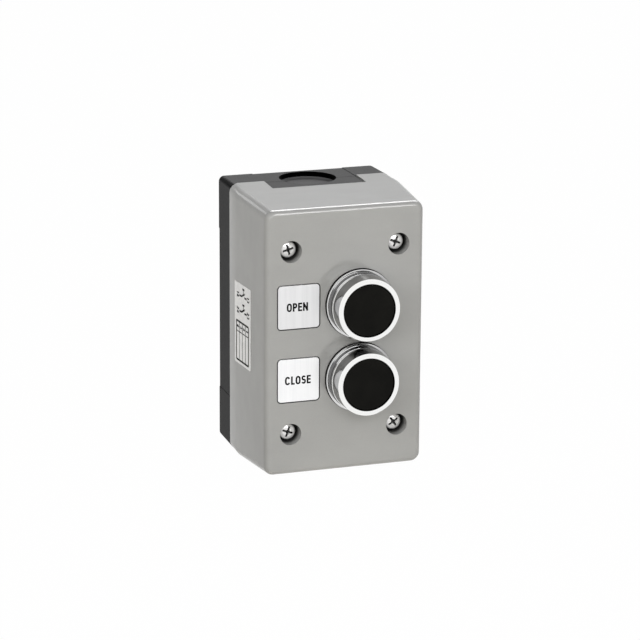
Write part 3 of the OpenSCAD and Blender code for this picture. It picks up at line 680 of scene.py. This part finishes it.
def coilMesh(name, centre, radius, front, rear, turns, wire, dead):
    sides, steps = coilSteps["round"], int(turns * coilSteps["perTurn"])
    rings = []
    for k in range(steps + 1):
        turn = turns * (k / steps)
        # the end turns lie flat against their seats
        lift = min(max((turn - dead / 2) / (turns - dead), 0), 1)
        angle = math.tau * turn
        out = Vector((math.cos(angle), 0, math.sin(angle)))
        middle = Vector((centre.x, front + (rear - front) * lift, centre.z)) + out * radius
        rings.append([middle + wire * (math.cos(b) * out + math.sin(b) * Vector((0, 1, 0)))
                      for b in (math.tau * i / sides for i in range(sides))])
    bm = bmesh.new()
    loops = [[bm.verts.new(p) for p in ring] for ring in rings]
    for first, second in zip(loops, loops[1:]):
        for i in range(sides):
            j = (i + 1) % sides
            bm.faces.new((first[i], first[j], second[j], second[i]))
    bm.faces.new(loops[0][::-1])
    bm.faces.new(loops[-1])
    bmesh.ops.recalc_face_normals(bm, faces=bm.faces)
    return toPiece(name, bm)


for unit in units:
    for part, s in springs.items():
        low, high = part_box(unit + "_" + part)
        wire = s["wire"] * mm
        radius = (high.x - low.x) / 2 - wire
        centre = Vector((centres[unit].x, 0, centres[unit].z))
        front, rear = low.y + wire, high.y - wire
        coil = (radius, front, rear, s["turns"], wire, s["dead"])
        spring = coilMesh(unit + s["piece"], centre, *coil)
        spring.data.materials.append(finishes["springSteel"])
        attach(spring, "enclosure")
        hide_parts(unit + "_" + part)
        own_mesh(spring)
print("springs wound")


# points on a bow about (cx, cy), for the curved strokes of the signs: a square above 2 fills its
# corners
def bow(cx, cy, rx, ry, start, end, steps, square=2.0):
    points = []
    for i in range(steps + 1):
        a = math.radians(start + (end - start) * i / steps)
        c, s = (math.copysign(abs(v) ** (2 / square), v) for v in (math.cos(a), math.sin(a)))
        points.append((cx + rx * c, cy + ry * s))
    return points


# each sign: its width for a height of 1, and its strokes in a box from 0 to 1 across and up
signs = {
    "O": (0.62, [bow(0.5, 0.5, 0.5, 0.5, 0, 360, 36, 2.7)]),
    "P": (0.53, [
        [(0, 0), (0, 1)],
        [(0, 1), (0.5, 1)] + bow(0.5, 0.73, 0.5, 0.27, 90, -90, 14, 2.4) + [(0.5, 0.46), (0, 0.46)],
    ]),
    "E": (0.49, [[(0, 0), (0, 1)], [(0, 1), (1, 1)], [(0, 0.52), (0.92, 0.52)], [(0, 0), (1, 0)]]),
    "N": (0.61, [[(0, 0), (0, 1)], [(0, 1), (1, 0)], [(1, 0), (1, 1)]]),
    "C": (0.64, [bow(0.5, 0.5, 0.5, 0.5, 31, 329, 32, 2.5)]),
    "L": (0.44, [[(0, 0), (0, 1)], [(0, 0), (1, 0)]]),
    "S": (0.54, [
        bow(0.5, 0.75, 0.47, 0.25, 22, 262, 22, 2.2) + bow(0.5, 0.26, 0.5, 0.26, 82, -158, 22, 2.2),
    ]),
    "1": (0.3, [[(0.85, 0), (0.85, 1)], [(0.85, 1), (0.1, 0.74)]]),
    "2": (0.5, [bow(0.5, 0.72, 0.48, 0.28, 165, -40, 18) + [(0, 0)], [(0, 0), (1, 0)]]),
    "3": (0.5, [
        bow(0.47, 0.75, 0.45, 0.25, 150, -75, 16) + bow(0.47, 0.26, 0.5, 0.26, 75, -150, 16),
    ]),
    "4": (0.54, [[(0.72, 0), (0.72, 1)], [(0.72, 1), (0, 0.3)], [(0, 0.3), (1, 0.3)]]),
}
endsMeet = 1e-6  # a stroke whose ends lie closer than this is a closed one


def strokeSides(points, wide, closed):
    left, right = [], []
    n = len(points)
    for i, p in enumerate(points):
        if closed:
            before, after = points[(i - 1) % n], points[(i + 1) % n]
        else:
            before, after = points[max(i - 1, 0)], points[min(i + 1, n - 1)]
        d = Vector((after[0] - before[0], after[1] - before[1]))
        d.normalize()
        side = Vector((-d.y, d.x)) * wide / 2
        left.append(Vector(p) + side)
        right.append(Vector(p) - side)
    return left, right


# adds one stroke to a mesh as a thin plate; toPlace puts a flat point at a height on the object
def addStroke(bm, points, wide, thick, toPlace, closed=False):
    pairs = list(zip(*strokeSides(points, wide, closed)))
    low, high = ([[bm.verts.new(toPlace(p, height)) for p in pair] for pair in pairs]
                 for height in (0, thick))
    n = len(points)
    for i in range(n if closed else n - 1):
        j = (i + 1) % n
        bm.faces.new((high[i][0], high[i][1], high[j][1], high[j][0]))
        bm.faces.new((low[j][0], low[j][1], low[i][1], low[i][0]))
        bm.faces.new((low[i][0], high[i][0], high[j][0], low[j][0]))
        bm.faces.new((low[j][1], high[j][1], high[i][1], low[i][1]))
    if not closed:
        bm.faces.new((low[0][1], high[0][1], high[0][0], low[0][0]))
        bm.faces.new((low[-1][0], high[-1][0], high[-1][1], low[-1][1]))


def addWord(bm, word, middle, tall, wide, gap, thick, toPlace):
    widths = [signs[c][0] * tall for c in word]
    x = middle[0] - (sum(widths) + gap * (len(word) - 1)) / 2
    y = middle[1] - tall / 2
    for c, w in zip(word, widths):
        for stroke in signs[c][1]:
            closed = math.dist(stroke[0], stroke[-1]) < endsMeet
            if closed:
                stroke = stroke[:-1]
            inner = [(x + wide / 2 + px * (w - wide), y + wide / 2 + py * (tall - wide))
                     for px, py in stroke]
            if len(inner) == 2:
                # bars reach to the full height and width of the sign
                a, b = Vector(inner[0]), Vector(inner[1])
                run = (b - a).normalized() * wide / 2
                inner = [tuple(a - run), tuple(b + run)]
            addStroke(bm, inner, wide, thick, toPlace, closed)
        x += w + gap


def onFace(depth):
    return lambda p, height: Vector((p[0] * mm, depth - height * mm, p[1] * mm))


# the plain words on the legend plates, with their middles on the face in mm
words = {
    "open": {"word": "OPEN", "middle": (-19.55, 14.73), "gap": 0.35},
    "close": {"word": "CLOSE", "middle": (-19.25, -14.94), "gap": 0.34},
    "tall": 3.4,
    "stroke": 0.68,
    "ink": 0.025,
}
for unit in units:
    s = words[unit]
    bm = bmesh.new()
    toPlate = onFace(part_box(unit + "_legend_plate")[0].y)
    sizes = (words["tall"], words["stroke"], s["gap"], words["ink"])
    addWord(bm, s["word"], s["middle"], *sizes, toPlate)
    bmesh.ops.recalc_face_normals(bm, faces=bm.faces)
    lettering = toPiece(unit + "Lettering", bm, False)
    lettering.data.materials.append(finishes["printInk"])
    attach(lettering, "enclosure")
print("lettering printed")


# the label's print is a plain wiring sketch, two open contacts with their terminal numbers, and a
# table of empty note lines, in mm: along runs down the label from its top, and up from the bend
# towards the front, but from the middle line for the blade's tip, the plunger and its knob
labelPrint = {
    "ink": 0.02,
    "line": 0.38,
    "bold": 0.78,
    "margin": 1.5,
    "numberTall": 2.3,
    "numberStroke": 0.5,
    "numberGap": 0.3,
    "frontEdge": 0.3,
    "contact": {
        "numbers": (("13", "14"), ("23", "24")),
        "start": 2.2,
        "pitch": 6.4,
        "wireAlong": 2.6,
        "wireEnd": 3.9,
        "parted": 1.6,
        "bladeTip": (1.0, 1.8),
        "plungerAlong": (1.6, -0.4),
        "plungerUp": 0.4,
        "knobAlong": -0.5,
        "knobUp": (-0.7, 1.5),
        "numberUp": 2.3,
    },
    "table": {"numbers": "4321", "start": 15.8, "low": 0.5, "clear": 0.4, "column": 4.2},
}


def labelPlace():
    low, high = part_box("rating_label")
    # the label bends over the widest line of the side: the print lies in front of that bend
    points = [v.co for v in nodes["rating_label"].data.vertices]
    frontX = min(p.x for p in points if p.y < low.y + labelPrint["frontEdge"] * mm)
    bend = min(points, key=lambda p: p.x)
    lean = Vector((bend.x - frontX, bend.y - low.y, 0))
    across = lean.normalized()
    out = Vector((-across.y, across.x, 0))
    start = Vector((frontX, low.y, high.z))

    def toPlace(p, height):
        down = Vector((0, 0, -p[0] * mm))
        return start + down + across * (lean.length - p[1] * mm) + out * height * mm

    return toPlace, (high.z - low.z) / mm, lean.length / mm


def printLabel():
    s = labelPrint
    toPlace, tall, wide = labelPlace()
    bm = bmesh.new()

    def line(a, b, thick=s["line"]):
        addStroke(bm, [a, b], thick, s["ink"], toPlace)

    def number(digits, middle):
        sizes = (s["numberTall"], s["numberStroke"], s["numberGap"], s["ink"])
        addWord(bm, digits, middle, *sizes, toPlace)

    c, bold = s["contact"], s["bold"]
    mid = wide / 2
    for k, (first, second) in enumerate(c["numbers"]):
        x = c["start"] + c["pitch"] * k
        wireX = x + c["wireAlong"]
        foot = (wireX, mid - c["parted"])
        line((wireX, wide - c["wireEnd"]), (wireX, mid + c["parted"]), bold)
        line(foot, (wireX, c["wireEnd"]), bold)
        line(foot, (x + c["bladeTip"][0], mid + c["bladeTip"][1]), bold)
        line(*((x + along, mid + c["plungerUp"]) for along in c["plungerAlong"]))
        line(*((x + c["knobAlong"], mid + up) for up in c["knobUp"]), bold)
        number(first, (wireX, wide - c["numberUp"]))
        number(second, (wireX, c["numberUp"]))

    t = s["table"]
    left, right = t["start"], tall - s["margin"]
    low, high = t["low"], wide - s["margin"] - t["clear"]
    rows = len(t["numbers"])
    row = (high - low) / rows
    for i in range(rows + 1):
        up = low + i * row
        line((left, up), (right, up), bold if i in (0, rows) else s["line"])
    for x, thick in ((left, bold), (left + t["column"], s["line"]), (right, bold)):
        line((x, low), (x, high), thick)
    for i, n in enumerate(t["numbers"]):
        number(n, (left + t["column"] / 2, low + (i + 0.5) * row))
    bmesh.ops.recalc_face_normals(bm, faces=bm.faces)
    made = toPiece("labelPrint", bm, False)
    made.data.materials.append(finishes["printInk"])
    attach(made, "enclosure")


printLabel()
print("label printed")


# a pale floor, an even white surround and soft lamps, in metres and watts
# a lamp that isn't seen leaves no highlight, and a card doesn't light but shows in reflections: the
# cards draw the two bright lines on the cover's top front edge and the one on its top left edge
studio = {
    "ambient": 0.085,
    "target": (0, -0.04, 0),
    "floorColour": (0.82, 0.77, 0.66),
    "floorGlow": 0.992,
    "floorSize": 4.0,
    "floorSides": 64,
    "floorGap": 0.1,
    "lamps": {
        "upperRight": {"at": (0.6, -0.9, 0.9), "size": (0.6, 0.6), "power": 2.4},
        "upperLeft": {"at": (-0.6, -0.95, 0.75), "size": (0.6, 0.6), "power": 2.8, "seen": False},
        "front": {"at": (-0.1, -1.3, 0.5), "size": (1.0, 0.5), "power": 6.2},
        "leftFront": {"at": (-1.0, -0.8, 0.4), "size": (0.4, 0.6), "power": 4.0, "seen": False},
        "table": {"at": (0.425, -1.09, -0.39), "size": (0.14, 0.14), "power": 3.4, "seen": False},
        "edgeCard": {"at": (0.41, -1.2, 0.7), "size": (0.24, 0.45), "power": 4.6, "lights": False},
        "sideCard": {"at": (-0.45, 1.08, 0.52), "size": (0.26, 0.22), "power": 0.36, "lights": False},
        "rearCard": {"at": (0.35, 0.5, 0.8), "size": (0.9, 0.5), "power": 17.0, "lights": False},
    },
}
white = (1, 1, 1, 1)


def seenRays(tree):
    camera, glossy, through = (tree.node("ShaderNodeLightPath", output=ray) for ray in
                               ("Is Camera Ray", "Is Glossy Ray", "Is Transmission Ray"))
    return camera | glossy | through


def makeWorld():
    world = bpy.data.worlds.new("studio")
    bpy.context.scene.world = world
    world.use_nodes = True
    tree = Nodes(world.node_tree)
    seen = seenRays(tree)
    back = world.node_tree.nodes["Background"]
    back.inputs["Color"].default_value = white
    strength = seen + (1 - seen) * studio["ambient"]
    world.node_tree.links.new(strength.socket, back.inputs["Strength"])


def makeFloor():
    bm = bmesh.new()
    sides, size = studio["floorSides"], studio["floorSize"]
    bmesh.ops.create_circle(bm, cap_ends=True, segments=sides, radius=size)
    floor = toPiece("floor", bm, False)
    floor.location.z = cadBox[0].z - studio["floorGap"] * mm
    material = bpy.data.materials.new("paleFloor")
    material.use_nodes = True
    tree = Nodes(material.node_tree)
    plain = tree.node("ShaderNodeBsdfDiffuse", None, {"Color": (*studio["floorColour"], 1)})
    glow = tree.node("ShaderNodeEmission", None, {"Color": white, "Strength": 1.0})
    shown = seenRays(tree) * studio["floorGlow"]
    above = tree.node("ShaderNodeMixShader", None, {0: shown, 1: plain, 2: glow})
    under = tree.node("ShaderNodeNewGeometry", output="Backfacing")
    clear = tree.node("ShaderNodeBsdfTransparent")
    whole = tree.node("ShaderNodeMixShader", None, {0: under, 1: above, 2: clear})
    tree.tree.links.new(whole.socket, tree.tree.nodes["Material Output"].inputs["Surface"])
    floor.data.materials.append(material)
    # light from under the floor's level stands for what a pale table in front throws back
    floor.visible_shadow = False


def makeLamp(name, s):
    data = bpy.data.lights.new(name, "AREA")
    data.shape = "RECTANGLE"
    data.size, data.size_y = s["size"]
    data.energy = s["power"]
    lamp = bpy.data.objects.new(name, data)
    lamp.location = s["at"]
    toward = Vector(studio["target"]) - Vector(s["at"])
    lamp.rotation_mode = "QUATERNION"
    lamp.rotation_quaternion = toward.to_track_quat("-Z", "Y")
    lamp.visible_camera = False
    lamp.visible_diffuse = s.get("lights", True)
    lamp.visible_glossy = s.get("seen", True)
    bpy.context.scene.collection.objects.link(lamp)


makeWorld()
makeFloor()
for name, s in studio["lamps"].items():
    makeLamp(name, s)
bpy.context.scene.view_settings.view_transform = "Standard"
print("studio lit")
